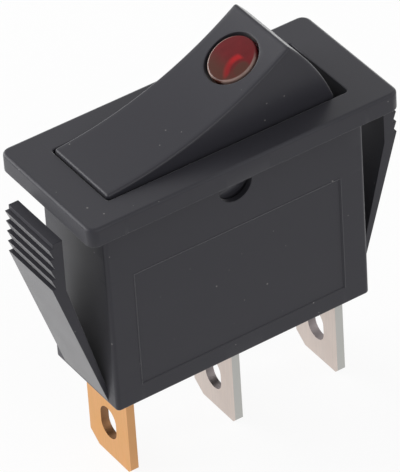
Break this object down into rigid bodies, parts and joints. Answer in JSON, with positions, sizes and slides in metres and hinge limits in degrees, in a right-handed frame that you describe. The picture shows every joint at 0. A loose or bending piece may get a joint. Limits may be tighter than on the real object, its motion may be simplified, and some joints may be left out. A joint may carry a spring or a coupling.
{
  "type": "illuminated rocker switch",
  "caption": "Narrow snap-in rocker switch with a red lamp jewel in the rocker, a seesaw contact and push-on blades.",
  "frame": {"origin": "centre of the bezel's underside, the face that seats on the panel", "axes": "+Z out of the panel, +X towards the lens end of the rocker, the blades hang down -Z"},
  "size_m": [0.0352, 0.014, 0.0379],
  "materials": {
    "black_nylon": "satin moulded, fine grain",
    "rocker_black": "satin, a little smoother than the housing",
    "red_lens": "clear red, polished",
    "lamp_glass": "clear",
    "nickel": "dull nickel",
    "tinned_copper": "tinned, dull",
    "resistor_body": "lacquered",
    "acetal": "smooth natural white",
    "spring_steel": "bright drawn wire",
    "contact_brass": "rolled strip",
    "contact_silver": "dull silver",
    "plated_blade": "silver-coloured plating, rolled and stamped",
    "bare_blade": "bare warm brass, rolled and stamped"
  },
  "bodies": {
    "housing": {"housing": "black_nylon", "common_terminal": "plated_blade", "load_terminal": "plated_blade", "fixed_contact": "contact_silver", "lamp_terminal": "bare_blade", "load_lamp_spring": "spring_steel", "neutral_lamp_spring": "spring_steel"},
    "rocker": {"rocker": "rocker_black", "lens": "red_lens", "lamp_bulb": "lamp_glass", "lamp_electrode_front": "nickel", "lamp_electrode_rear": "nickel", "lamp_lead_to_load": "tinned_copper", "lamp_lead_to_resistor": "tinned_copper", "resistor_core": "resistor_body", "resistor_caps": "nickel", "resistor_lead": "tinned_copper", "plunger_spring": "spring_steel"},
    "plunger": {"plunger": "acetal"},
    "bridge": {"contact_bridge": "contact_brass", "moving_contact": "contact_silver"}
  },
  "joints": [
    {"name": "rocker_tilt", "type": "hinge", "parent": "housing", "child": "rocker", "pos_m": [0, 0, -0.00205], "axis": [0, 1, 0], "range_deg": [0, 39.2], "deforming": ["load_lamp_spring", "neutral_lamp_spring"]},
    {"name": "plunger_slide", "type": "slide", "parent": "rocker", "child": "plunger", "axis": [-0.3355, 0, 0.9421], "range_m": [0, 0.0008], "stiffness_N_per_m": 600, "springref_m": -0.003, "deforming": ["plunger_spring"]},
    {"name": "bridge_tilt", "type": "hinge", "parent": "housing", "child": "bridge", "pos_m": [0, 0, -0.01212], "axis": [0, 1, 0], "range_deg": [-16, 0]}
  ],
  "couplings": [
    {"joint": "bridge_tilt", "follows": "rocker_tilt", "ratio": -0.40816}
  ]
}
